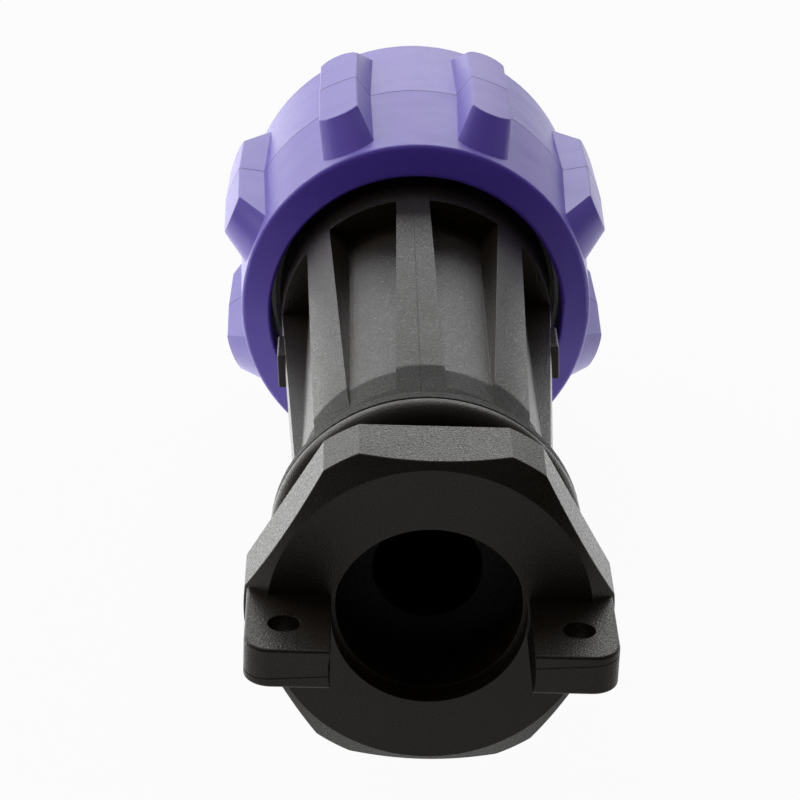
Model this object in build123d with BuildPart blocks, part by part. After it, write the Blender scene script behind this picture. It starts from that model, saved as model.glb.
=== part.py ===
from build123d import *
import os
from math import cos, hypot, radians, sin, tan

# Cable-mounted circular power connector with socket contacts, in millimetres.
# The connector axis is +Y, from the cable entry at y = 0 to the mating end, and +Z is up.
# The origin is the centre of the gland nut's front face.
# Radii follow from the contacts outward, and places from the cable entry towards the mating end.

os.makedirs("parts", exist_ok=True)

# How far a cut runs past the face it leaves through, and how near two sizes count as one
CUT_PAST = 1.0
SAME_SIZE = 0.01

# Socket contacts and their terminal screws
CONTACT_COUNT = 5
CONTACT_PITCH_RADIUS = 9.2
SOCKET_BORE_RADIUS = 2.4
SOCKET_WALL = 0.9
SOCKET_BORE_DEPTH = 24.0
SOCKET_SLIT = 0.6
SOCKET_SLIT_LENGTH = 14.0
CONTACT_CLEARANCE = 0.1
CONTACT_COLLAR_STEP = 1.0
CONTACT_COLLAR = 2.0
WIRE_BORE_RADIUS = 2.5
WIRE_BORE_DEPTH = 14.0
TERMINAL_WALL = 1.2
TERMINAL_LENGTH = 20.0
TERMINAL_SCREW_RADIUS = 1.5
TERMINAL_SCREW_LENGTH = 2.3
TERMINAL_SCREW_SETBACK = 6.0
TERMINAL_SCREW_LIFT = 0.1
HEX_KEY_RADIUS = 0.85
HEX_KEY_DEPTH = 1.2
SCREW_CLEARANCE = 0.03

# Contact insert, its rear plate, clip and screws
INSERT_CLEARANCE = 0.1
INSERT_SEAT_STEP = 3.3
INSERT_LENGTH = 46.0
PLATE_LEAD = 2.2
PLATE_THICK = 4.0
INSERT_KEY_WIDTH = 3.0
INSERT_KEY_HEIGHT = 0.9
FACE_WALL = 1.8
TIP_SETBACK = 2.0
FACE_HOLE_STEP = 0.3
FACE_HOLE_CHAMFER = 0.8
CLIP_THICK = 1.2
CLIP_GROOVE_DEPTH = 1.2
CLIP_OVERLAP = 1.4
CLIP_GAP = 9.0
PLATE_SCREW_STEP = 1.8
PLATE_SCREW_RADIUS = 1.25
PLATE_SCREW_LENGTH = 12.0
PLATE_SCREW_HEAD_RADIUS = 2.1
PLATE_SCREW_HEAD = 1.8
PLATE_SCREW_ANGLES = (108, -108)
SLOT_WIDTH = 0.7
SLOT_DEPTH = 0.8

# Body shell, inside
CAVITY_CLEARANCE = 0.2
THREAD_STEP = 1.5
THREAD_RUNOUT = 1.0

# Body shell, outside
BODY_TURN = -1.7
COLLAR_LENGTH = 2.0
COLLAR_STEP = 4.3
COLLAR_EDGE = 0.3
BARREL_WALL = 1.5
BARREL_LENGTH = 70.5
CREASE_SETBACK = 15.0
CREASE_RISE = 1.33
SHOULDER_DROP = 0.5
FLUTE_SETBACK = 9.0
FLUTE_MIDDLE_SETBACK = 31.0
FLUTE_MIDDLE_RISE = 0.42
FLUTE_END_RISE = 0.1
RIB_COUNT = 8
RIB_ROOT = 2.0
RIB_START_HALF = 3.68
RIB_END_HALF = 2.6
PAD_SETBACK = 16.0
PAD_LENGTH = 7.5
PAD_WIDTH = 5.4
PAD_RISE = 0.3
PAD_EDGE = 0.3

# Body shell, front end
SPIGOT_WALL = 3.2
SPIGOT_LIP = 4.0
SPIGOT_EDGE = 0.6
RING_SEAT_STEP = 1.3
BODY_FLANGE_STEP = 4.4
BODY_FLANGE_THICK = 3.0
KEYWAY_LENGTH = 27.0
KEYWAY_DEPTH = 1.0
KEYWAYS = ((0, 4.0), (110, 3.0), (-110, 3.0))

# Coupling ring
RING_SETBACK = 4.7
RING_LENGTH = 50.6
RING_WALL = 3.82
RING_DRAFT = 1.9
RING_DISH = 1.6
RING_ROUND = 1.0
RING_FAR_ROUND = 1.6
RING_MOUTH_CLEARANCE = 1.4
RING_MOUTH_EDGE = 0.5
RING_WEB = 7.7
RING_RUNNING_CLEARANCE = 0.08
RING_BORE_CHAMFER = 0.6

# Grip lugs of the coupling ring
LUG_COUNT = 8
LUG_HEIGHT = 3.9
LUG_TOP_DRAFT = 1.6
LUG_BASE_HALF = 4.15
LUG_TOP_HALF = 3.25
LUG_BASE_HALF_LENGTH = 20.6
LUG_TOP_HALF_LENGTH = 14.25
LUG_BASE_BOW = 2.7
LUG_TOP_BOW = 2.2
LUG_SINK = 1.6
LUG_OVERSHOOT = 1.2
LUG_EDGE = 0.45

# Pieces that hold the ring on the body, and the gasket of the mating face
WASHER_THICK = 0.8
WASHER_CLEARANCE = 0.8
RETAINER_THICK = 1.2
RETAINER_OVERLAP = 1.0
RETAINER_DEPTH = 1.1
RETAINER_PLAY = 0.2
RETAINER_GAP = 8.0
GROOVE_CLEARANCE = 0.1
FRONT_GASKET_THICK = 2.5
FRONT_GASKET_WIDTH = 2.5
FRONT_SEAT_STEP = 0.3
FRONT_GASKET_CLEARANCE = 0.1

# Gland body: the threaded piece with the rounded flange
THREAD_CLEARANCE = 0.08
GLAND_WALL = 2.6
NUT_GAP = 7.1
FLANGE_STEP = 0.1
FLANGE_THICK = 3.0
FLANGE_ROUND = 2.4
REAR_THREAD_LENGTH = 13.0
SEAT_SETBACK = 5.0
SEAT_LENGTH = 6.5
SEAT_DROP = 3.4

# Gland follower, seal and gasket
NUT_TRAVEL = 3.0
TRAVEL_CLEARANCE = 0.3
FOLLOWER_GAP = 0.1
FOLLOWER_FLANGE = 1.5
FOLLOWER_LENGTH = 7.1
FOLLOWER_INSET = 0.3
FOLLOWER_DROP = 0.5
SLEEVE_CLEARANCE = 0.15
SEAL_BORE_RADIUS = 7.5
SEAL_CLEARANCE = 0.12
GASKET_THICK = 0.5
GASKET_INSET = 0.6

# Gland nut
NUT_TURN = 2.0
HEX_WALL = 5.65
HEX_CORNER_STEP = 2.1
HEX_LENGTH = 11.4
HEX_EDGE = 0.25
NUT_FACE_DROP = 0.95
NUT_CHAMFER_DEPTH = 2.5
CABLE_BORE_DROP = 1.3
NUT_WEB = 3.0

# Cable clamp ears on the nut
EAR_STEP = 1.65
EAR_WIDTH = 11.4
EAR_REACH = 14.5
EAR_THICK = 5.5
EAR_ROOT = 5.0
EAR_OUTER_CORNER = 3.6
EAR_INNER_CORNER = 2.2
EAR_EDGE = 0.4
EAR_ARC_STEP = 0.3
EAR_HOLE_RADIUS = 2.15
EAR_HOLE_INSET = 5.1
EAR_HOLE_SETBACK = 7.5

# Radii of the contacts and what holds them
socket_radius = SOCKET_BORE_RADIUS + SOCKET_WALL
contact_collar_radius = socket_radius + CONTACT_COLLAR_STEP
terminal_radius = WIRE_BORE_RADIUS + TERMINAL_WALL
face_hole_radius = SOCKET_BORE_RADIUS + FACE_HOLE_STEP
plate_screw_pitch_radius = CONTACT_PITCH_RADIUS + PLATE_SCREW_STEP
screw_top_radius = CONTACT_PITCH_RADIUS + WIRE_BORE_RADIUS + TERMINAL_SCREW_LIFT + TERMINAL_SCREW_LENGTH

# Radii of the shell
cavity_radius = screw_top_radius + CAVITY_CLEARANCE
rear_thread_radius = cavity_radius + THREAD_STEP
barrel_start_radius = rear_thread_radius + BARREL_WALL
collar_radius = barrel_start_radius + COLLAR_STEP
crease_radius = barrel_start_radius + CREASE_RISE
insert_bore_radius = cavity_radius + INSERT_SEAT_STEP
insert_radius = insert_bore_radius - INSERT_CLEARANCE
clip_groove_radius = insert_bore_radius + CLIP_GROOVE_DEPTH
clip_inner_radius = insert_bore_radius - CLIP_OVERLAP
spigot_radius = insert_bore_radius + SPIGOT_WALL
front_seat_radius = spigot_radius + FRONT_SEAT_STEP
ring_seat_radius = spigot_radius + RING_SEAT_STEP
shoulder_radius = ring_seat_radius - SHOULDER_DROP
rib_core_radius = barrel_start_radius - RIB_ROOT
pad_top_radius = shoulder_radius + PAD_RISE
body_flange_radius = spigot_radius + BODY_FLANGE_STEP

# Radii of the coupling ring and what holds it
ring_mouth_radius = ring_seat_radius + RING_MOUTH_CLEARANCE
ring_bore_radius = body_flange_radius + RING_RUNNING_CLEARANCE
ring_middle_radius = ring_bore_radius + RING_WALL
ring_end_radius = ring_middle_radius - RING_LENGTH / 2 * tan(radians(RING_DRAFT))
washer_inner_radius = ring_seat_radius + WASHER_CLEARANCE
retainer_inner_radius = body_flange_radius - RETAINER_OVERLAP
retainer_radius = ring_bore_radius + RETAINER_DEPTH
front_gasket_inner_radius = front_seat_radius + FRONT_GASKET_CLEARANCE
front_gasket_radius = front_seat_radius + FRONT_GASKET_WIDTH

# Radii of the gland
gland_bore_radius = cavity_radius
gland_thread_radius = gland_bore_radius + GLAND_WALL
flange_radius = collar_radius + FLANGE_STEP
seat_exit_radius = gland_bore_radius - SEAT_DROP
follower_flange_radius = gland_thread_radius - FOLLOWER_INSET
cable_bore_radius = gland_bore_radius - CABLE_BORE_DROP
hex_flat_radius = gland_thread_radius + HEX_WALL
hex_corner_radius = hex_flat_radius + HEX_CORNER_STEP
nut_face_radius = hex_flat_radius - NUT_FACE_DROP
ear_outer = hex_flat_radius + EAR_STEP
ear_hole_x = ear_outer - EAR_HOLE_INSET

# Places along the axis, from the cable entry
follower_start = NUT_WEB + FOLLOWER_GAP
follower_end = follower_start + FOLLOWER_LENGTH
seal_start = follower_end + NUT_TRAVEL + TRAVEL_CLEARANCE
gland_start = follower_start + FOLLOWER_FLANGE + NUT_TRAVEL + TRAVEL_CLEARANCE
flange_face = HEX_LENGTH + NUT_GAP
flange_back = flange_face + FLANGE_THICK
seat_start = flange_back + SEAT_SETBACK
seat_end = seat_start + SEAT_LENGTH
gland_end = flange_back + REAR_THREAD_LENGTH
collar_front = flange_back + GASKET_THICK
barrel_start = collar_front + COLLAR_LENGTH
flute_start = barrel_start + FLUTE_SETBACK
crease = barrel_start + CREASE_SETBACK
flute_middle = barrel_start + FLUTE_MIDDLE_SETBACK
shoulder = barrel_start + BARREL_LENGTH
pad_start = shoulder - PAD_SETBACK
ring_near = shoulder + RING_SETBACK
ring_middle = ring_near + RING_LENGTH / 2
ring_far = ring_near + RING_LENGTH
ring_web_end = ring_near + RING_WEB
washer_start = ring_web_end + RETAINER_PLAY
body_flange_start = washer_start + WASHER_THICK
body_flange_end = body_flange_start + BODY_FLANGE_THICK
front_seat_end = body_flange_end + FRONT_GASKET_THICK
retainer_start = body_flange_end + RETAINER_PLAY
retainer_end = retainer_start + RETAINER_THICK
plate_start = ring_near - PLATE_LEAD
insert_start = plate_start + PLATE_THICK
insert_front = plate_start + INSERT_LENGTH
contact_tip = insert_front - TIP_SETBACK
terminal_end = plate_start - TERMINAL_LENGTH
spigot_end = insert_front + SPIGOT_LIP
keyway_start = spigot_end - KEYWAY_LENGTH

# Radii of the barrel along its length
flute_start_radius = barrel_start_radius + CREASE_RISE * FLUTE_SETBACK / CREASE_SETBACK
flute_middle_radius = barrel_start_radius + FLUTE_MIDDLE_RISE
flute_end_radius = barrel_start_radius + FLUTE_END_RISE

# Turns of what repeats round the axis
rib_angles = [BODY_TURN + 360 * index / RIB_COUNT for index in range(RIB_COUNT)]
lug_angles = [360 * (index + 0.5) / LUG_COUNT for index in range(LUG_COUNT)]
contact_angles = [360 * index / CONTACT_COUNT for index in range(CONTACT_COUNT)]


def across(y, turn=0.0):
    """Plane across the axis at y. Its x is +X turned clockwise as seen from the cable end."""
    angle = radians(turn)
    return Plane(origin=(0, y, 0), x_dir=(cos(angle), 0, -sin(angle)), z_dir=(0, 1, 0))


def outward(angle, radius, y=0.0):
    """Plane facing outward at an angle from +Z towards +X. Its x runs along the axis."""
    direction = Vector(sin(radians(angle)), 0, cos(radians(angle)))
    return Plane(origin=direction * radius + Vector(0, y, 0), x_dir=(0, 1, 0), z_dir=direction)


def along(angle, radius, y):
    """Plane across the axis at y, centred at a radius. Its x points outward."""
    direction = Vector(sin(radians(angle)), 0, cos(radians(angle)))
    return Plane(origin=direction * radius + Vector(0, y, 0), x_dir=direction, z_dir=(0, 1, 0))


def profile(*points):
    """Closed outline through points in the sketch's own frame."""
    Polygon(*points, align=None)


def axis_distance(shape):
    """Distance of a shape's centre from the connector axis."""
    return hypot(shape.center().X, shape.center().Z)


def finish(builder, name):
    """Labels a piece and writes it."""
    builder.part.label = name
    export_step(builder.part, f"parts/{name}.step")


# Gland nut: a hexagon with turned corners and a conical front, bored for the cable, with two ears
nut_level = Plane(
    origin=(0, 0, 0),
    x_dir=(cos(radians(NUT_TURN)), 0, -sin(radians(NUT_TURN))),
    z_dir=(sin(radians(NUT_TURN)), 0, cos(radians(NUT_TURN))),
)
with BuildPart() as ear_pair:
    with BuildSketch(nut_level) as ear_outline:
        for side in (-1, 1):
            with Locations((side * (ear_outer - EAR_WIDTH / 2), (EAR_ROOT - EAR_REACH) / 2)):
                Rectangle(EAR_WIDTH, EAR_ROOT + EAR_REACH)
        front = ear_outline.vertices().group_by(Axis.Y)[0].sort_by(Axis.X)
        fillet([front[0], front[3]], radius=EAR_OUTER_CORNER)
        fillet([front[1], front[2]], radius=EAR_INNER_CORNER)
    extrude(amount=EAR_THICK / 2, both=True)
    fillet(ear_pair.faces().filter_by(nut_level).edges(), radius=EAR_EDGE)

with BuildPart() as gland_nut:
    with BuildSketch(across(0, NUT_TURN)):
        RegularPolygon(hex_flat_radius, 6, major_radius=False)
    extrude(amount=HEX_LENGTH)
    with BuildSketch(Plane.YZ):
        profile(
            (0, 0),
            (0, nut_face_radius),
            (NUT_CHAMFER_DEPTH, hex_corner_radius),
            (HEX_LENGTH, hex_corner_radius),
            (HEX_LENGTH, 0),
        )
    revolve(axis=Axis.Y, mode=Mode.INTERSECT)
    fillet(gland_nut.edges().filter_by(lambda edge: axis_distance(edge) > nut_face_radius), radius=HEX_EDGE)
    add(ear_pair.part)
    with Locations(nut_level):
        with Locations((-ear_hole_x, -EAR_HOLE_SETBACK), (ear_hole_x, -EAR_HOLE_SETBACK)):
            Hole(EAR_HOLE_RADIUS)
    with BuildSketch(Plane.YZ):
        profile(
            (-EAR_REACH, 0),
            (-EAR_REACH, cable_bore_radius + EAR_ARC_STEP),
            (0, cable_bore_radius + EAR_ARC_STEP),
            (0, cable_bore_radius),
            (NUT_WEB, cable_bore_radius),
            (NUT_WEB, gland_thread_radius + THREAD_CLEARANCE),
            (HEX_LENGTH, gland_thread_radius + THREAD_CLEARANCE),
            (HEX_LENGTH, 0),
        )
    revolve(axis=Axis.Y, mode=Mode.SUBTRACT)
finish(gland_nut, "gland_nut")

# Gland follower: a flanged sleeve that the nut pushes against the cable seal
with BuildPart() as gland_follower:
    with BuildSketch(Plane.YZ):
        profile(
            (follower_start, cable_bore_radius - FOLLOWER_DROP),
            (follower_start, follower_flange_radius),
            (follower_start + FOLLOWER_FLANGE, follower_flange_radius),
            (follower_start + FOLLOWER_FLANGE, gland_bore_radius - SLEEVE_CLEARANCE),
            (follower_end, gland_bore_radius - SLEEVE_CLEARANCE),
            (follower_end, cable_bore_radius - FOLLOWER_DROP),
        )
    revolve(axis=Axis.Y)
finish(gland_follower, "gland_follower")

# Gland seal: a thick rubber sleeve with a tapered end, squeezed on the cable by the follower
with BuildPart() as gland_seal:
    with BuildSketch(Plane.YZ):
        profile(
            (seal_start, SEAL_BORE_RADIUS),
            (seal_start, gland_bore_radius - SEAL_CLEARANCE),
            (seat_start - SEAL_CLEARANCE, gland_bore_radius - SEAL_CLEARANCE),
            (seat_end - SEAL_CLEARANCE, seat_exit_radius - SEAL_CLEARANCE),
            (seat_end - SEAL_CLEARANCE, SEAL_BORE_RADIUS),
        )
    revolve(axis=Axis.Y)
finish(gland_seal, "gland_seal")

# Gland body: threaded at both ends, with a round flange whose front edge is well rounded
with BuildPart() as gland_body:
    with BuildSketch(Plane.YZ) as gland_section:
        profile(
            (gland_start, gland_bore_radius),
            (gland_start, gland_thread_radius),
            (flange_face, gland_thread_radius),
            (flange_face, flange_radius),
            (flange_back, flange_radius),
            (flange_back, rear_thread_radius),
            (gland_end, rear_thread_radius),
            (gland_end, seat_exit_radius),
            (seat_end, seat_exit_radius),
            (seat_start, gland_bore_radius),
        )
        rim = gland_section.vertices().group_by(Axis.Y)[-1].sort_by(Axis.X)[0]
        fillet(rim, radius=FLANGE_ROUND)
    revolve(axis=Axis.Y)
finish(gland_body, "gland_body")

# Gland gasket: a flat ring between the gland body's flange and the collar of the shell
with BuildPart() as gland_gasket:
    with BuildSketch(across(flange_back)):
        Circle(flange_radius - GASKET_INSET)
        Circle(rear_thread_radius + THREAD_CLEARANCE, mode=Mode.SUBTRACT)
    extrude(amount=GASKET_THICK)
finish(gland_gasket, "gland_gasket")

# Ribs of the body shell: eight tapered bars, trimmed to the cone of the barrel
with BuildPart() as rib_set:
    for angle in rib_angles:
        with BuildSketch(outward(angle, rib_core_radius)):
            profile(
                (barrel_start, -RIB_START_HALF),
                (shoulder, -RIB_END_HALF),
                (shoulder, RIB_END_HALF),
                (barrel_start, RIB_START_HALF),
            )
        extrude(amount=shoulder_radius - rib_core_radius + CUT_PAST)
    with BuildSketch(Plane.YZ):
        profile(
            (barrel_start, 0),
            (barrel_start, barrel_start_radius),
            (crease, crease_radius),
            (shoulder, shoulder_radius),
            (shoulder, 0),
        )
    revolve(axis=Axis.Y, mode=Mode.INTERSECT)

# Pads on the two side ribs, under the ring's edge
with BuildPart() as pad_pair:
    for angle in (rib_angles[RIB_COUNT // 4], rib_angles[-RIB_COUNT // 4]):
        with BuildSketch(outward(angle, crease_radius)):
            with Locations((pad_start + PAD_LENGTH / 2, 0)):
                Rectangle(PAD_LENGTH, PAD_WIDTH)
        extrude(amount=pad_top_radius - crease_radius)
    fillet(pad_pair.edges().filter_by(lambda edge: axis_distance(edge) > shoulder_radius), radius=PAD_EDGE)

# Body shell: collar, fluted barrel, ring flange and the spigot that carries the contacts
with BuildPart() as body_shell:
    with BuildSketch(Plane.YZ) as shell_section:
        with BuildLine():
            Polyline(
                (flute_start, flute_start_radius),
                (barrel_start, barrel_start_radius),
                (barrel_start, collar_radius),
                (collar_front, collar_radius),
                (collar_front, 0),
                (spigot_end, 0),
                (spigot_end, spigot_radius - SPIGOT_EDGE),
                (spigot_end - SPIGOT_EDGE, spigot_radius),
                (front_seat_end, spigot_radius),
                (front_seat_end, front_seat_radius),
                (body_flange_end, front_seat_radius),
                (body_flange_end, body_flange_radius),
                (body_flange_start, body_flange_radius),
                (body_flange_start, ring_seat_radius),
                (shoulder, shoulder_radius),
                (shoulder, flute_end_radius),
            )
            ThreePointArc(
                (shoulder, flute_end_radius),
                (flute_middle, flute_middle_radius),
                (flute_start, flute_start_radius),
            )
        make_face()
        collar_corners = shell_section.vertices().filter_by_position(Axis.X, collar_front, barrel_start)
        fillet(collar_corners.sort_by(Axis.Y)[-2:], radius=COLLAR_EDGE)
    revolve(axis=Axis.Y)
    add(rib_set.part)
    add(pad_pair.part)
    with BuildSketch(Plane.YZ):
        profile(
            (collar_front, 0),
            (collar_front, rear_thread_radius + THREAD_CLEARANCE),
            (gland_end + THREAD_RUNOUT, rear_thread_radius + THREAD_CLEARANCE),
            (gland_end + THREAD_RUNOUT, cavity_radius),
            (plate_start, cavity_radius),
            (plate_start, insert_bore_radius),
            (insert_front, insert_bore_radius),
            (insert_front, clip_groove_radius),
            (insert_front + CLIP_THICK + GROOVE_CLEARANCE, clip_groove_radius),
            (insert_front + CLIP_THICK + GROOVE_CLEARANCE, insert_bore_radius),
            (spigot_end, insert_bore_radius),
            (spigot_end, 0),
        )
    revolve(axis=Axis.Y, mode=Mode.SUBTRACT)
    with BuildSketch(outward(0, 0, insert_start)):
        with Locations(((spigot_end - insert_start) / 2, 0)):
            Rectangle(spigot_end - insert_start, INSERT_KEY_WIDTH + 2 * INSERT_CLEARANCE)
    extrude(amount=insert_bore_radius + INSERT_KEY_HEIGHT, mode=Mode.SUBTRACT)
    for angle, width in KEYWAYS:
        with BuildSketch(outward(angle, spigot_radius - KEYWAY_DEPTH, keyway_start)):
            with Locations(((spigot_end - keyway_start) / 2, 0)):
                Rectangle(spigot_end - keyway_start, width)
        extrude(amount=2 * KEYWAY_DEPTH, mode=Mode.SUBTRACT)
finish(body_shell, "body_shell")

# Grip lugs: drafted blocks with bowed, leaning end faces, trimmed to a drafted round top
with BuildPart() as lug_set:
    base_radius = ring_middle_radius - LUG_SINK
    top_radius = ring_middle_radius + LUG_HEIGHT + LUG_OVERSHOOT
    for angle in lug_angles:
        for radius in (base_radius, top_radius):
            share = (radius - ring_middle_radius) / LUG_HEIGHT
            half = LUG_BASE_HALF + (LUG_TOP_HALF - LUG_BASE_HALF) * share
            reach = LUG_BASE_HALF_LENGTH + (LUG_TOP_HALF_LENGTH - LUG_BASE_HALF_LENGTH) * share
            bow = LUG_BASE_BOW + (LUG_TOP_BOW - LUG_BASE_BOW) * share
            with BuildSketch(outward(angle, radius, ring_middle)):
                with BuildLine():
                    ThreePointArc((-reach + bow, half), (-reach, 0), (-reach + bow, -half))
                    Line((-reach + bow, -half), (reach - bow, -half))
                    ThreePointArc((reach - bow, -half), (reach, 0), (reach - bow, half))
                    Line((reach - bow, half), (-reach + bow, half))
                make_face()
        loft()
    with BuildSketch(Plane.YZ):
        top = ring_middle_radius + LUG_HEIGHT
        drop = LUG_BASE_HALF_LENGTH * tan(radians(LUG_TOP_DRAFT))
        profile(
            (ring_middle - LUG_BASE_HALF_LENGTH - LUG_SINK, 0),
            (ring_middle - LUG_BASE_HALF_LENGTH - LUG_SINK, top - drop),
            (ring_middle, top),
            (ring_middle + LUG_BASE_HALF_LENGTH + LUG_SINK, top - drop),
            (ring_middle + LUG_BASE_HALF_LENGTH + LUG_SINK, 0),
        )
    revolve(axis=Axis.Y, mode=Mode.INTERSECT)
    crown = lug_set.edges().filter_by(GeomType.BSPLINE)
    fillet(crown.filter_by(lambda edge: axis_distance(edge) > ring_middle_radius + LUG_SINK), radius=LUG_EDGE)

# Coupling ring: drafted to both ends from its middle, with a web at the cable end
with BuildPart() as coupling_ring:
    with BuildSketch(Plane.YZ) as ring_section:
        profile(
            (ring_near, ring_mouth_radius),
            (ring_near + RING_DISH, ring_end_radius),
            (ring_middle, ring_middle_radius),
            (ring_far, ring_end_radius),
            (ring_far, ring_bore_radius + RING_BORE_CHAMFER),
            (ring_far - RING_BORE_CHAMFER, ring_bore_radius),
            (retainer_end + GROOVE_CLEARANCE, ring_bore_radius),
            (retainer_end + GROOVE_CLEARANCE, retainer_radius + GROOVE_CLEARANCE),
            (retainer_start - GROOVE_CLEARANCE, retainer_radius + GROOVE_CLEARANCE),
            (retainer_start - GROOVE_CLEARANCE, ring_bore_radius),
            (ring_web_end, ring_bore_radius),
            (ring_web_end, ring_mouth_radius),
        )
        rims = ring_section.vertices().filter_by(lambda v: abs(v.Y - ring_end_radius) < SAME_SIZE)
        near_rim, far_rim = rims.sort_by(Axis.X)
        fillet(near_rim, radius=RING_ROUND)
        fillet(ring_section.vertices().sort_by(Axis.X)[0], radius=RING_MOUTH_EDGE)
        fillet(far_rim, radius=RING_FAR_ROUND)
    revolve(axis=Axis.Y)
    add(lug_set.part)
finish(coupling_ring, "coupling_ring")

# Thrust washer between the web of the ring and the flange of the shell
with BuildPart() as thrust_washer:
    with BuildSketch(across(washer_start)):
        Circle(body_flange_radius)
        Circle(washer_inner_radius, mode=Mode.SUBTRACT)
    extrude(amount=WASHER_THICK)
finish(thrust_washer, "thrust_washer")

# Ring retainer: an open spring ring in the groove of the coupling ring, ahead of the flange
with BuildPart() as ring_retainer:
    with BuildSketch(across(retainer_start)):
        Circle(retainer_radius)
        Circle(retainer_inner_radius, mode=Mode.SUBTRACT)
        with Locations((0, retainer_radius)):
            cut_depth = retainer_radius - retainer_inner_radius + CUT_PAST
            Rectangle(RETAINER_GAP, 2 * cut_depth, mode=Mode.SUBTRACT)
    extrude(amount=RETAINER_THICK)
finish(ring_retainer, "ring_retainer")

# Front gasket: a rubber ring against the front of the shell's flange
with BuildPart() as front_gasket:
    with BuildSketch(across(body_flange_end)):
        Circle(front_gasket_radius)
        Circle(front_gasket_inner_radius, mode=Mode.SUBTRACT)
    extrude(amount=FRONT_GASKET_THICK)
finish(front_gasket, "front_gasket")

# Contact insert: a keyed block with a stepped hole for each contact
with BuildPart() as contact_insert:
    with BuildSketch(across(insert_start)):
        Circle(insert_radius)
    extrude(amount=insert_front - insert_start)
    with BuildSketch(outward(0, insert_radius / 2, insert_start)):
        with Locations(((insert_front - insert_start) / 2, 0)):
            Rectangle(insert_front - insert_start, INSERT_KEY_WIDTH)
    extrude(amount=insert_radius / 2 + INSERT_KEY_HEIGHT)
    for angle in contact_angles:
        with BuildSketch(along(angle, CONTACT_PITCH_RADIUS, insert_start)):
            Circle(socket_radius + CONTACT_CLEARANCE)
        extrude(amount=insert_front - FACE_WALL - insert_start, mode=Mode.SUBTRACT)
        with BuildSketch(along(angle, CONTACT_PITCH_RADIUS, insert_start)):
            Circle(contact_collar_radius + CONTACT_CLEARANCE)
        extrude(amount=CONTACT_COLLAR + CONTACT_CLEARANCE, mode=Mode.SUBTRACT)
        with BuildSketch(along(angle, CONTACT_PITCH_RADIUS, insert_front)):
            Circle(face_hole_radius)
        extrude(amount=-FACE_WALL, mode=Mode.SUBTRACT)
    rims = contact_insert.edges().filter_by(GeomType.CIRCLE).group_by(Axis.Y)[-1]
    mouths = rims.filter_by(lambda edge: abs(edge.radius - face_hole_radius) < SAME_SIZE)
    chamfer(mouths, length=FACE_HOLE_CHAMFER)
    for angle in PLATE_SCREW_ANGLES:
        with BuildSketch(along(angle, plate_screw_pitch_radius, insert_start)):
            Circle(PLATE_SCREW_RADIUS + SCREW_CLEARANCE)
        extrude(amount=PLATE_SCREW_LENGTH - PLATE_THICK + CUT_PAST, mode=Mode.SUBTRACT)
finish(contact_insert, "contact_insert")

# Contact plate: screwed behind the insert, it traps the collars of the contacts
with BuildPart() as contact_plate:
    with BuildSketch(across(plate_start)):
        Circle(insert_radius)
        for angle in contact_angles:
            with Locations(across(0).to_local_coords(along(angle, CONTACT_PITCH_RADIUS, 0).origin)):
                Circle(terminal_radius + CONTACT_CLEARANCE, mode=Mode.SUBTRACT)
        for angle in PLATE_SCREW_ANGLES:
            with Locations(across(0).to_local_coords(along(angle, plate_screw_pitch_radius, 0).origin)):
                Circle(PLATE_SCREW_RADIUS + SCREW_CLEARANCE, mode=Mode.SUBTRACT)
    extrude(amount=PLATE_THICK)
finish(contact_plate, "contact_plate")

# Plate screws: slotted cheese-head screws through the plate into the insert
for number, angle in enumerate(PLATE_SCREW_ANGLES, start=1):
    with BuildPart() as plate_screw:
        with BuildSketch(along(angle, plate_screw_pitch_radius, plate_start)):
            Circle(PLATE_SCREW_RADIUS)
        extrude(amount=PLATE_SCREW_LENGTH)
        with BuildSketch(along(angle, plate_screw_pitch_radius, plate_start)):
            Circle(PLATE_SCREW_HEAD_RADIUS)
        extrude(amount=-PLATE_SCREW_HEAD)
        with BuildSketch(along(angle, plate_screw_pitch_radius, plate_start - PLATE_SCREW_HEAD)):
            Rectangle(2 * PLATE_SCREW_HEAD_RADIUS + CUT_PAST, SLOT_WIDTH)
        extrude(amount=SLOT_DEPTH, mode=Mode.SUBTRACT)
    finish(plate_screw, f"plate_screw_{number}")

# Insert clip: an open spring ring that holds the insert from the front
with BuildPart() as insert_clip:
    with BuildSketch(across(insert_front)):
        Circle(clip_groove_radius - GROOVE_CLEARANCE)
        Circle(clip_inner_radius, mode=Mode.SUBTRACT)
        with Locations((0, clip_groove_radius)):
            Rectangle(CLIP_GAP, 2 * (CLIP_GROOVE_DEPTH + CLIP_OVERLAP + CUT_PAST), mode=Mode.SUBTRACT)
    extrude(amount=CLIP_THICK)
finish(insert_clip, "insert_clip")

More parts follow.
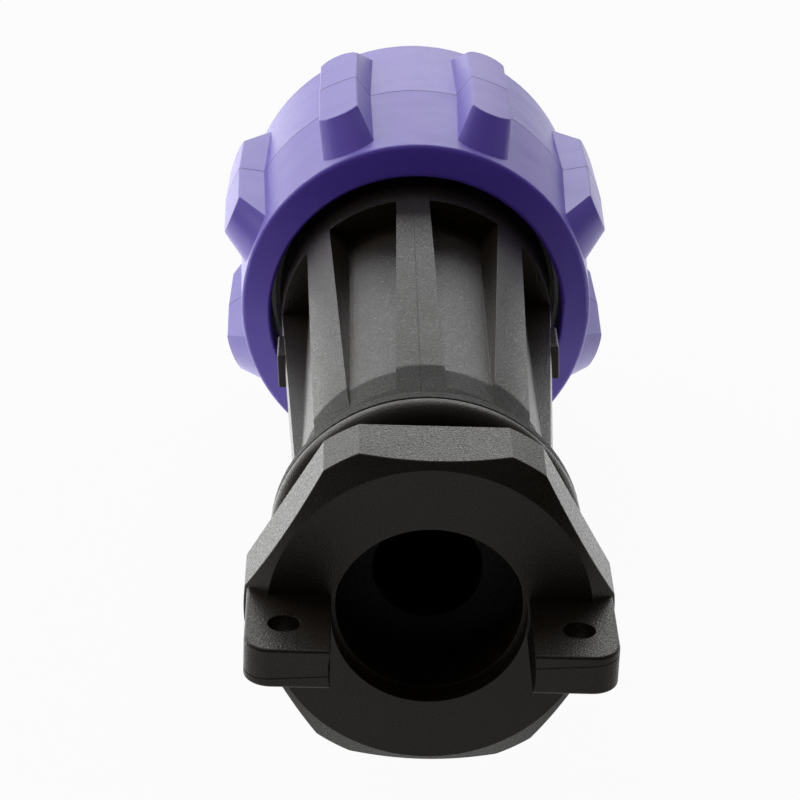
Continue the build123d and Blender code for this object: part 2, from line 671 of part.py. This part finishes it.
# Socket contacts: a slit socket, a collar and a terminal with a wire bore and a clamp screw
for number, angle in enumerate(contact_angles, start=1):
    with BuildPart() as contact:
        with BuildSketch(along(angle, CONTACT_PITCH_RADIUS, insert_start)):
            Circle(socket_radius)
        extrude(amount=contact_tip - insert_start)
        with BuildSketch(along(angle, CONTACT_PITCH_RADIUS, insert_start)):
            Circle(contact_collar_radius)
        extrude(amount=CONTACT_COLLAR)
        with BuildSketch(along(angle, CONTACT_PITCH_RADIUS, terminal_end)):
            Circle(terminal_radius)
        extrude(amount=insert_start - terminal_end)
        with BuildSketch(along(angle, CONTACT_PITCH_RADIUS, contact_tip)):
            Circle(SOCKET_BORE_RADIUS)
        extrude(amount=-SOCKET_BORE_DEPTH, mode=Mode.SUBTRACT)
        with BuildSketch(along(angle, CONTACT_PITCH_RADIUS, terminal_end)):
            Circle(WIRE_BORE_RADIUS)
        extrude(amount=WIRE_BORE_DEPTH, mode=Mode.SUBTRACT)
        with BuildSketch(along(angle, CONTACT_PITCH_RADIUS, contact_tip)):
            Rectangle(2 * socket_radius + CUT_PAST, SOCKET_SLIT)
            Rectangle(SOCKET_SLIT, 2 * socket_radius + CUT_PAST)
        extrude(amount=-SOCKET_SLIT_LENGTH, mode=Mode.SUBTRACT)
        with BuildSketch(outward(angle, CONTACT_PITCH_RADIUS, terminal_end + TERMINAL_SCREW_SETBACK)):
            Circle(TERMINAL_SCREW_RADIUS + SCREW_CLEARANCE)
        extrude(amount=terminal_radius + CUT_PAST, mode=Mode.SUBTRACT)
    finish(contact, f"contact_{number}")

    # Each clamp screw is backed out of the wire bore
    with BuildPart() as terminal_screw:
        with BuildSketch(outward(angle, screw_top_radius, terminal_end + TERMINAL_SCREW_SETBACK)):
            Circle(TERMINAL_SCREW_RADIUS)
        extrude(amount=-TERMINAL_SCREW_LENGTH)
        with BuildSketch(outward(angle, screw_top_radius, terminal_end + TERMINAL_SCREW_SETBACK)):
            RegularPolygon(HEX_KEY_RADIUS, 6)
        extrude(amount=-HEX_KEY_DEPTH, mode=Mode.SUBTRACT)
    finish(terminal_screw, f"terminal_screw_{number}")
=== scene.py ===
"""Looks of a circular connector socket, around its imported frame."""

import bpy
import numpy as np
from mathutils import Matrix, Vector


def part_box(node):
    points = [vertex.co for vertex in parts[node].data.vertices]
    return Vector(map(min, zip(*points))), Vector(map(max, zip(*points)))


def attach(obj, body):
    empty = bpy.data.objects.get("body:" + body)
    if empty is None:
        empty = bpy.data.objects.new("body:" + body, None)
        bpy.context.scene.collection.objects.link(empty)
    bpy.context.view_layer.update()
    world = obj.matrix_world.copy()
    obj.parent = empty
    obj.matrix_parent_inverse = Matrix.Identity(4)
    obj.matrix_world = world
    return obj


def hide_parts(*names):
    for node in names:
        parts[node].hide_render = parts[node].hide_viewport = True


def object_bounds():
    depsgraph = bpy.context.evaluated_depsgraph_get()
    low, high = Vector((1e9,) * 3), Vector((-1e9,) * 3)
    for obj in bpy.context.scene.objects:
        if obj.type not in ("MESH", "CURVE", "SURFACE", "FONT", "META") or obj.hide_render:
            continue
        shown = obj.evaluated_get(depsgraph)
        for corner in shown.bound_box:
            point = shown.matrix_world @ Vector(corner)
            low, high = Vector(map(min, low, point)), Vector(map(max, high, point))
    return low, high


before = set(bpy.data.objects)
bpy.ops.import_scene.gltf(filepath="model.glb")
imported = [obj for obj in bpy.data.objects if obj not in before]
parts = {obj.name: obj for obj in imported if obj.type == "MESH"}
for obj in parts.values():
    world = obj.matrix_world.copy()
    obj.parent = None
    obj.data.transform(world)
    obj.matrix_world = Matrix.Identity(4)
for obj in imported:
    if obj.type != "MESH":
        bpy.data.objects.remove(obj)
cad_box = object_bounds()

MM = 0.001

# Camera of the photograph: 135 mm lens on a 36 mm frame, 25 degrees above the connector axis
CAMERA_PLACE = Vector((-8.5, -345.1, 195.9)) * MM
CAMERA_AIM = Vector((0.0120, 0.9029, -0.4296))
CAMERA_LENS = 135.0
CAMERA_FRAME = 36.0

# Turns of the nut and of the shell about the connector axis, in degrees
NUT_TURN = 2.0
BODY_TURN = -1.7

# Places of the barrel's crease and the ring's parting line along the axis, and the widths of the
# parting lines, in millimetres
CREASE = 39.0
RING_PARTING = 124.5
RING_SEAM = 0.18
HOUSING_SEAM = 0.12
EAR_SEAM = 0.14

# Moulded plastics: their index of refraction, cells of the cloud in a millimetre, the middle range
# of the grain's noise, how much darker a parting line is, how faint the shell's is, what a
# coarser texture adds to the roughness, the share of the colour that painted shade leaves there,
# and half the width of their border in millimetres
PLASTIC_IOR = 1.53
CLOUD_SCALE = 0.12
GRAIN_RANGE = (0.35, 0.65)
SEAM_DARKNESS = 0.8
FAINT_SEAM = 0.3
COARSE_ROUGHNESS = 0.24
PAINTED_SHADE_SHARE = 0.5
COARSE_AND_SHADED_BORDER = 0.5

# Turned metals: the height of the tool's rings in millimetres, and the radians that the wave
# texture takes to its unit
TURNED_HEIGHT = 0.004
WAVE_RADIANS = 20

# Gland body, in millimetres, with the columns and the rows of points in each turn of its thread,
# and the slope of the thread's wave and how far it is lowered, which leaves it flat at the crest
THREAD_END = 17.8
THREAD_PITCH = 1.5
THREAD_DEPTH = 0.85
THREAD_CREST = 16.9
THREAD_COLUMNS = 240
THREAD_ROWS = 14
THREAD_SLOPE = 2.4
THREAD_FLAT = 0.1
FLANGE = (18.5, 21.5)
FLANGE_ROUND = 2.4
FLANGE_POINTS = 9
REAR_RADIUS = 15.8
SEAT_CONE = (26.5, 33.0)
SEAT_RADIUS = 14.3
EXIT_RADIUS = 10.9
JOIN = 0.02
SHARP_ANGLE = 30

WHITE = (1.0, 1.0, 1.0, 1.0)
PALE_GREY = (0.8, 0.8, 0.8, 1.0)

# Light tent: the sine of the height, and its strength there behind, beside and in front of the
# object. Below it are its turn about the vertical in degrees, and the cosines of the angle from its
# back between which its front passes into its sides, and its sides into its back
TENT = (
    (0.00, 1.5, 0.6, 0.0),
    (0.24, 1.5, 0.4, 0.0),
    (0.28, 3.8, 0.3, 0.0),
    (0.50, 3.8, 0.3, 0.0),
    (0.53, 0.1, 0.5, 0.15),
    (0.70, 0.1, 0.5, 0.15),
    (0.73, 1.9, 0.2, 0.05),
    (0.85, 1.9, 0.2, 0.05),
    (0.89, 0.35, 0.35, 0.25),
)
TENT_TURN = -20.0
TENT_FRONT = (-0.4, -0.2)
TENT_BEHIND = (0.6, 0.8)

# Floor, in metres: its half size, and the length over which its glow in reflections changes from
# near to far and from left to right, with the strengths on either side and the share of white that
# the camera sees
FLOOR_HALF = 4.0
FLOOR_REACH = 0.1
FLOOR_NEAR = 0.7
FLOOR_FAR = 2.1
FLOOR_SLANT = 0.25
FLOOR_WHITENESS = 0.95


def linear(colour):
    """Scene-linear red, green, blue and alpha of an sRGB hex colour such as '#3a3a3a'."""
    channels = np.array([int(colour[k:k + 2], 16) for k in (1, 3, 5)]) / 255
    bright = np.where(channels <= 0.04045, channels / 12.92, ((channels + 0.055) / 1.055) ** 2.4)
    return (*bright.tolist(), 1.0)


def add(tree, kind, inputs=None, **settings):
    """Adds a node, sets its settings, and fills its inputs with values or with other nodes' outputs.

    An input goes by its name or its number: 2 and 3 are a Mix node's two values, and 6 and 7 its
    two colours.
    """
    node = tree.nodes.new(kind)
    for name, value in settings.items():
        setattr(node, name, value)
    for name, value in (inputs or {}).items():
        if isinstance(value, bpy.types.NodeSocket):
            tree.links.new(value, node.inputs[name])
        else:
            node.inputs[name].default_value = value
    return node


def new_material(name):
    """An empty node material and its tree."""
    material = bpy.data.materials.new(name)
    material.use_nodes = True
    material.node_tree.nodes.clear()
    return material, material.node_tree


def end_in(tree, shader):
    """Links a shader to the material's output."""
    add(tree, "ShaderNodeOutputMaterial", {"Surface": shader.outputs[0]})


def millimetres(tree, turn=0.0):
    """Object coordinates in millimetres, turned about the connector axis by an angle in degrees."""
    place = add(tree, "ShaderNodeTexCoord")
    return add(tree, "ShaderNodeMapping", {
        "Vector": place.outputs["Object"],
        "Rotation": (0.0, np.radians(turn), 0.0),
        "Scale": (1 / MM, 1 / MM, 1 / MM),
    }).outputs["Vector"]


def step(tree, value, start, end, before, after):
    """A level that changes smoothly while a coordinate goes from its start to its end."""
    return add(tree, "ShaderNodeMapRange", {
        "Value": value, "From Min": start, "From Max": end, "To Min": before, "To Max": after,
    }, interpolation_type="SMOOTHSTEP").outputs[0]


def line_at(tree, value, place, width):
    """1 on a line where a coordinate equals a place, falling to 0 at its width."""
    off = add(tree, "ShaderNodeMath", {0: value, 1: place}, operation="SUBTRACT")
    away = add(tree, "ShaderNodeMath", {0: off.outputs[0]}, operation="ABSOLUTE")
    return add(tree, "ShaderNodeMapRange", {
        "Value": away.outputs[0], "From Min": 0.0, "From Max": width, "To Min": 1.0, "To Max": 0.0,
    }).outputs[0]


def darkened(tree, colours, share):
    """A colour times a share that changes over the surface."""
    return add(tree, "ShaderNodeVectorMath", {0: colours, "Scale": share}, operation="SCALE").outputs[0]


def moulded(name, colour, tint, roughness, gloss, grain, depth, waves, speckle, edge,
            seam=None, turn=NUT_TURN, coarse_and_shaded_to=None):
    """A moulded plastic: an even colour with a faint cloud, fine grain, and rounded edges.

    gloss is the level of the surface's reflections, and the grain varies the roughness by the
    share speckle. grain is the size of the texture's cells, depth its height, waves the height of
    the slow unevenness that shrinking leaves, and edge the radius of the edges, all in
    millimetres. seam is a function that gives the mask of a parting line from the tree and its
    coordinates, which are turned by an angle in degrees. Up to the place coarse_and_shaded_to along the
    axis, a coarser texture spreads the shine, and painted shade darkens the colour there.
    """
    material, tree = new_material(name)
    place = millimetres(tree, turn)
    cloud, texture = (add(tree, "ShaderNodeTexNoise", {
        "Vector": place, "Scale": scale, "Detail": 1.0,
    }).outputs[0] for scale in (CLOUD_SCALE, 1 / grain))
    colours = add(tree, "ShaderNodeMix", {
        "Factor": cloud, 6: linear(colour), 7: linear(tint),
    }, data_type="RGBA").outputs[2]
    rough = add(tree, "ShaderNodeMapRange", {
        "Value": texture, "From Min": GRAIN_RANGE[0], "From Max": GRAIN_RANGE[1],
        "To Min": roughness * (1 + speckle), "To Max": roughness * (1 - speckle),
    }).outputs[0]
    if coarse_and_shaded_to is not None:
        along = add(tree, "ShaderNodeSeparateXYZ", {0: place}).outputs["Y"]
        border = coarse_and_shaded_to - COARSE_AND_SHADED_BORDER, coarse_and_shaded_to + COARSE_AND_SHADED_BORDER
        rougher = step(tree, along, *border, COARSE_ROUGHNESS, 0.0)
        rough = add(tree, "ShaderNodeMath", {0: rough, 1: rougher}, operation="ADD").outputs[0]
        # Painted shade: the colour is darkened up to that place along the axis, with a smooth border
        colours = darkened(tree, colours, step(tree, along, *border, PAINTED_SHADE_SHARE, 1.0))
    if seam:
        mask = seam(tree, place)
        colours = darkened(tree, colours, add(tree, "ShaderNodeMath", {
            0: mask, 1: -SEAM_DARKNESS, 2: 1.0,
        }, operation="MULTIPLY_ADD").outputs[0])
        rough = add(tree, "ShaderNodeMix", {"Factor": mask, 2: rough, 3: 1.0}).outputs[0]
    rounded = add(tree, "ShaderNodeBevel", {"Radius": edge * MM}, samples=6)
    slow = add(tree, "ShaderNodeBump", {
        "Height": cloud, "Distance": waves * MM, "Strength": 1.0, "Normal": rounded.outputs[0],
    })
    bump = add(tree, "ShaderNodeBump", {
        "Height": texture, "Distance": depth * MM, "Strength": 1.0, "Normal": slow.outputs[0],
    })
    shader = add(tree, "ShaderNodeBsdfPrincipled", {
        "Base Color": colours, "Roughness": rough, "IOR": PLASTIC_IOR,
        "Specular IOR Level": gloss, "Normal": bump.outputs[0],
    })
    end_in(tree, shader)
    return material


def ring_seam(tree, place):
    """The hairline where the two halves of the ring's tool met, round its middle."""
    axes = add(tree, "ShaderNodeSeparateXYZ", {0: place})
    return line_at(tree, axes.outputs["Y"], RING_PARTING, RING_SEAM)


def housing_seam(tree, place):
    """The faint hairline along the top and bottom ribs, where the two halves of the tool met."""
    axes = add(tree, "ShaderNodeSeparateXYZ", {0: place})
    line = line_at(tree, axes.outputs["X"], 0.0, HOUSING_SEAM)
    return add(tree, "ShaderNodeMath", {0: line, 1: FAINT_SEAM}, operation="MULTIPLY").outputs[0]


def ear_seam(tree, place):
    """The hairline round the clamp ears, in front of the nut, where its tool parted."""
    axes = add(tree, "ShaderNodeSeparateXYZ", {0: place})
    line = line_at(tree, axes.outputs["Z"], 0.0, EAR_SEAM)
    ahead = add(tree, "ShaderNodeMath", {0: axes.outputs["Y"], 1: 0.0}, operation="LESS_THAN")
    return add(tree, "ShaderNodeMath", {0: line, 1: ahead.outputs[0]}, operation="MULTIPLY").outputs[0]


# Glass-filled polyamide from a spark-eroded tool: near black, with a fine grain that spreads the
# highlights
black = {
    "colour": "#221c15", "tint": "#272018", "roughness": 0.36, "gloss": 0.27, "grain": 0.26,
    "depth": 0.055, "waves": 0.10, "speckle": 0.25, "edge": 0.12,
}
black_polyamide = moulded("glass_filled_polyamide_black", **black)
# The shell's barrel is rougher up to the crease, and painted shade halves its colour there
shell_polyamide = moulded(
    "glass_filled_polyamide_shell", **black, seam=housing_seam, turn=-BODY_TURN, coarse_and_shaded_to=CREASE)
nut_polyamide = moulded("glass_filled_polyamide_nut", **black, seam=ear_seam)

# Unfilled polyamide coloured right through: deep violet, smoother than the black, with a soft sheen
violet = {
    "colour": "#694cd5", "tint": "#6c4fd7", "roughness": 0.38, "gloss": 0.46, "grain": 0.32,
    "depth": 0.014, "waves": 0.20, "speckle": 0.08, "edge": 0.12,
}
violet_polyamide = moulded("violet_polyamide", **violet, seam=ring_seam)

# Glass-filled contact carrier: dark grey and even
carrier = {
    "colour": "#3a3a3d", "tint": "#434346", "roughness": 0.5, "gloss": 0.5, "grain": 0.4,
    "depth": 0.01, "waves": 0.05, "speckle": 0.1, "edge": 0.2,
}
carrier_plastic = moulded("contact_carrier_plastic", **carrier)

# Acetal of the slip washer: milky and slippery
acetal = {
    "colour": "#d8d6cf", "tint": "#cfccc4", "roughness": 0.35, "gloss": 0.5, "grain": 0.4,
    "depth": 0.004, "waves": 0.05, "speckle": 0.1, "edge": 0.1,
}
washer_acetal = moulded("washer_acetal", **acetal)

# Nitrile rubber: soft black with a dull bloom
rubber = {
    "colour": "#0f0e0d", "tint": "#131211", "roughness": 0.75, "gloss": 0.3, "grain": 0.5,
    "depth": 0.012, "waves": 0.05, "speckle": 0.1, "edge": 0.3,
}
nitrile_rubber = moulded("nitrile_rubber", **rubber)


def turned_metal(name, colour, roughness, pitch):
    """A metal turned on a lathe: fine rings across the connector axis.

    The rings are drawn coarser than the tool leaves them, so that they show: they lie 2 pi
    pitches apart.
    """
    material, tree = new_material(name)
    place = millimetres(tree)
    rings = add(tree, "ShaderNodeTexWave", {
        "Vector": place, "Scale": 1 / (pitch * WAVE_RADIANS), "Distortion": 0.6, "Detail": 2.0,
    }, wave_type="BANDS", bands_direction="Y")
    bump = add(tree, "ShaderNodeBump", {"Height": rings.outputs[0], "Distance": TURNED_HEIGHT * MM})
    shader = add(tree, "ShaderNodeBsdfPrincipled", {
        "Base Color": linear(colour), "Metallic": 1.0, "Roughness": roughness, "Normal": bump.outputs[0],
    })
    end_in(tree, shader)
    return material


# Turned brass: warm, with soft bright bands. Zinc-plated steel: cool grey and a little brighter
turned_brass = turned_metal("turned_brass", "#c9a25c", roughness=0.32, pitch=0.2)
zinc_steel = turned_metal("zinc_plated_steel", "#b9bbc0", roughness=0.30, pitch=0.3)

FINISHES = {
    "gland_nut": nut_polyamide,
    "gland_body": black_polyamide,
    "gland_follower": black_polyamide,
    "body_shell": shell_polyamide,
    "coupling_ring": violet_polyamide,
    "thrust_washer": washer_acetal,
    "ring_retainer": zinc_steel,
    "insert_clip": zinc_steel,
    "contact_insert": carrier_plastic,
    "contact_plate": carrier_plastic,
    "gland_seal": nitrile_rubber,
    "gland_gasket": nitrile_rubber,
    "front_gasket": nitrile_rubber,
}


def finish_of(name):
    """The material of a node, by its name or its family."""
    if name in FINISHES:
        return FINISHES[name]
    return zinc_steel if "screw" in name else turned_brass


for name, part in parts.items():
    part.data.materials.clear()
    part.data.materials.append(finish_of(name))


def closed_tube(name, radius, y, material, body):
    """A mesh that closes on itself both round the axis and along its outline.

    radius and y are arrays with one row for each place on the outline and one column for each
    angle, in millimetres. The point at angle t is (r sin t, y, r cos t).
    """
    rows, columns = radius.shape
    angle = np.linspace(0, 2 * np.pi, columns, endpoint=False)
    points = np.stack([radius * np.sin(angle), y, radius * np.cos(angle)], axis=-1).reshape(-1, 3) * MM
    row, column = np.meshgrid(np.arange(rows), np.arange(columns), indexing="ij")
    below, beside = (row + 1) % rows, (column + 1) % columns
    faces = np.stack([row * columns + column, row * columns + beside,
                      below * columns + beside, below * columns + column], axis=-1).reshape(-1, 4)
    mesh = bpy.data.meshes.new(name)
    mesh.from_pydata(points.tolist(), [], faces.tolist())
    mesh.shade_smooth()
    mesh.set_sharp_from_angle(angle=np.radians(SHARP_ANGLE))
    mesh.materials.append(material)
    piece = bpy.data.objects.new(name, mesh)
    bpy.context.scene.collection.objects.link(piece)
    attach(piece, body)
    return piece


def threaded_gland_body():
    """The gland body with its thread.

    The outline runs along the outside from the cable end, round the flange, and back through the
    bore. Between its ends the thread's radius is the crest less a wave of the phase
    y / pitch - t / (2 pi), which is a right-hand helix; the wave is flat at crest and root.
    """
    low, high = (corner[1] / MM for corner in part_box("gland_body"))
    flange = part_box("gland_body")[1][0] / MM
    turns = np.linspace(0, 1, THREAD_COLUMNS, endpoint=False)
    y = np.linspace(low, THREAD_END, int((THREAD_END - low) / THREAD_PITCH * THREAD_ROWS))[:, None]
    phase = (y / THREAD_PITCH - turns) % 1.0
    wave = np.clip(THREAD_SLOPE * (0.5 - np.abs(phase - 0.5)) - THREAD_FLAT, 0, 1)
    fade = np.clip((y - low) / THREAD_PITCH, 0, 1) * np.clip((THREAD_END - y) / THREAD_PITCH, 0, 1)
    thread = THREAD_CREST - THREAD_DEPTH * wave * fade
    start, end = FLANGE
    outline = [(start - JOIN, THREAD_CREST), (start, THREAD_CREST + JOIN), (start, flange - FLANGE_ROUND)]
    outline += [(start + FLANGE_ROUND * (1 - np.cos(a)), flange - FLANGE_ROUND * (1 - np.sin(a)))
                for a in np.linspace(0, np.pi / 2, FLANGE_POINTS)[1:]]
    outline += [(end, flange), (end, REAR_RADIUS), (high, REAR_RADIUS), (high, EXIT_RADIUS),
                (SEAT_CONE[1], EXIT_RADIUS), (SEAT_CONE[0], SEAT_RADIUS), (low, SEAT_RADIUS)]
    rest = np.array(outline)
    radius = np.concatenate([thread, np.repeat(rest[:, 1:], THREAD_COLUMNS, axis=1)])
    along = np.concatenate([np.repeat(y, THREAD_COLUMNS, axis=1),
                            np.repeat(rest[:, :1], THREAD_COLUMNS, axis=1)])
    piece = closed_tube("gland_body_threaded", radius, along, black_polyamide, "housing")
    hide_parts("gland_body")


threaded_gland_body()


def floor():
    """A plain pale floor, white to the camera but for its soft shadow.

    In reflections it glows, more behind the object than in front, and more to the left.
    """
    level = cad_box[0][2]
    mesh = bpy.data.meshes.new("floor")
    corners = [(x * FLOOR_HALF, y * FLOOR_HALF, level) for x, y in ((-1, -1), (1, -1), (1, 1), (-1, 1))]
    mesh.from_pydata(corners, [], [(0, 1, 2, 3)])
    piece = bpy.data.objects.new("floor", mesh)
    bpy.context.scene.collection.objects.link(piece)
    material, tree = new_material("pale_floor")
    matt = add(tree, "ShaderNodeBsdfDiffuse", {"Color": PALE_GREY})
    white = add(tree, "ShaderNodeEmission", {"Color": WHITE, "Strength": 1.0})
    place = add(tree, "ShaderNodeSeparateXYZ", {0: add(tree, "ShaderNodeTexCoord").outputs["Object"]})
    depth = step(tree, place.outputs["Y"], 0.0, FLOOR_REACH, FLOOR_NEAR, FLOOR_FAR)
    left = step(tree, place.outputs["X"], -FLOOR_REACH, FLOOR_REACH, 1 + FLOOR_SLANT, 1 - FLOOR_SLANT)
    glow = add(tree, "ShaderNodeEmission", {
        "Color": WHITE,
        "Strength": add(tree, "ShaderNodeMath", {0: depth, 1: left}, operation="MULTIPLY").outputs[0],
    })
    path = add(tree, "ShaderNodeLightPath")
    seen = add(tree, "ShaderNodeMath", {
        0: path.outputs["Is Camera Ray"], 1: FLOOR_WHITENESS,
    }, operation="MULTIPLY")
    shader = add(tree, "ShaderNodeMixShader", {0: seen.outputs[0], 1: matt.outputs[0], 2: white.outputs[0]})
    mirrored = add(tree, "ShaderNodeMixShader", {
        0: path.outputs["Is Glossy Ray"], 1: shader.outputs[0], 2: glow.outputs[0],
    })
    end_in(tree, mirrored)
    mesh.materials.append(material)


floor()


def studio():
    """A light tent: bright low behind the object and again high behind it, dim beside it and in front.

    The camera sees it white.
    """
    world = bpy.data.worlds.new("studio")
    bpy.context.scene.world = world
    world.use_nodes = True
    tree = world.node_tree
    tree.nodes.clear()
    direction = add(tree, "ShaderNodeVectorRotate", {
        "Vector": add(tree, "ShaderNodeTexCoord").outputs["Generated"], "Angle": np.radians(TENT_TURN),
    }, rotation_type="Z_AXIS").outputs[0]
    way = add(tree, "ShaderNodeSeparateXYZ", {0: direction})
    strongest = max(max(row[1:]) for row in TENT)
    ramp = add(tree, "ShaderNodeValToRGB", {0: way.outputs["Z"]})
    stops = ramp.color_ramp.elements
    while len(stops) < len(TENT):
        stops.new(1.0)
    for stop, (height, *strengths) in zip(stops, TENT):
        stop.position = height
        stop.color = (*(strength / strongest for strength in strengths), 1.0)
    around = add(tree, "ShaderNodeVectorMath", {0: direction, 1: (1.0, 1.0, 0.0)}, operation="MULTIPLY")
    around = add(tree, "ShaderNodeVectorMath", {0: around.outputs[0]}, operation="NORMALIZE")
    facing = add(tree, "ShaderNodeSeparateXYZ", {0: around.outputs[0]}).outputs["Y"]
    side = add(tree, "ShaderNodeSeparateColor", {0: ramp.outputs[0]})
    ahead = add(tree, "ShaderNodeMix", {
        "Factor": step(tree, facing, *TENT_FRONT, 0.0, 1.0),
        2: side.outputs["Blue"], 3: side.outputs["Green"],
    })
    level = add(tree, "ShaderNodeMix", {
        "Factor": step(tree, facing, *TENT_BEHIND, 0.0, 1.0),
        2: ahead.outputs[0], 3: side.outputs["Red"],
    })
    strength = add(tree, "ShaderNodeMath", {0: level.outputs[0], 1: strongest}, operation="MULTIPLY")
    tent = add(tree, "ShaderNodeBackground", {"Color": WHITE, "Strength": strength.outputs[0]})
    backdrop = add(tree, "ShaderNodeBackground", {"Color": WHITE, "Strength": 1.0})
    ray = add(tree, "ShaderNodeLightPath")
    both = add(tree, "ShaderNodeMixShader", {
        0: ray.outputs["Is Camera Ray"], 1: tent.outputs[0], 2: backdrop.outputs[0],
    })
    add(tree, "ShaderNodeOutputWorld", {"Surface": both.outputs[0]})


studio()

lens = bpy.data.cameras.new("camera")
lens.lens = CAMERA_LENS
lens.sensor_width = CAMERA_FRAME
lens.clip_start = 0.01
camera = bpy.data.objects.new("camera", lens)
camera.location = CAMERA_PLACE
camera.rotation_euler = CAMERA_AIM.to_track_quat("-Z", "Y").to_euler()
bpy.context.scene.collection.objects.link(camera)
bpy.context.scene.camera = camera
bpy.context.scene.view_settings.view_transform = "Standard"
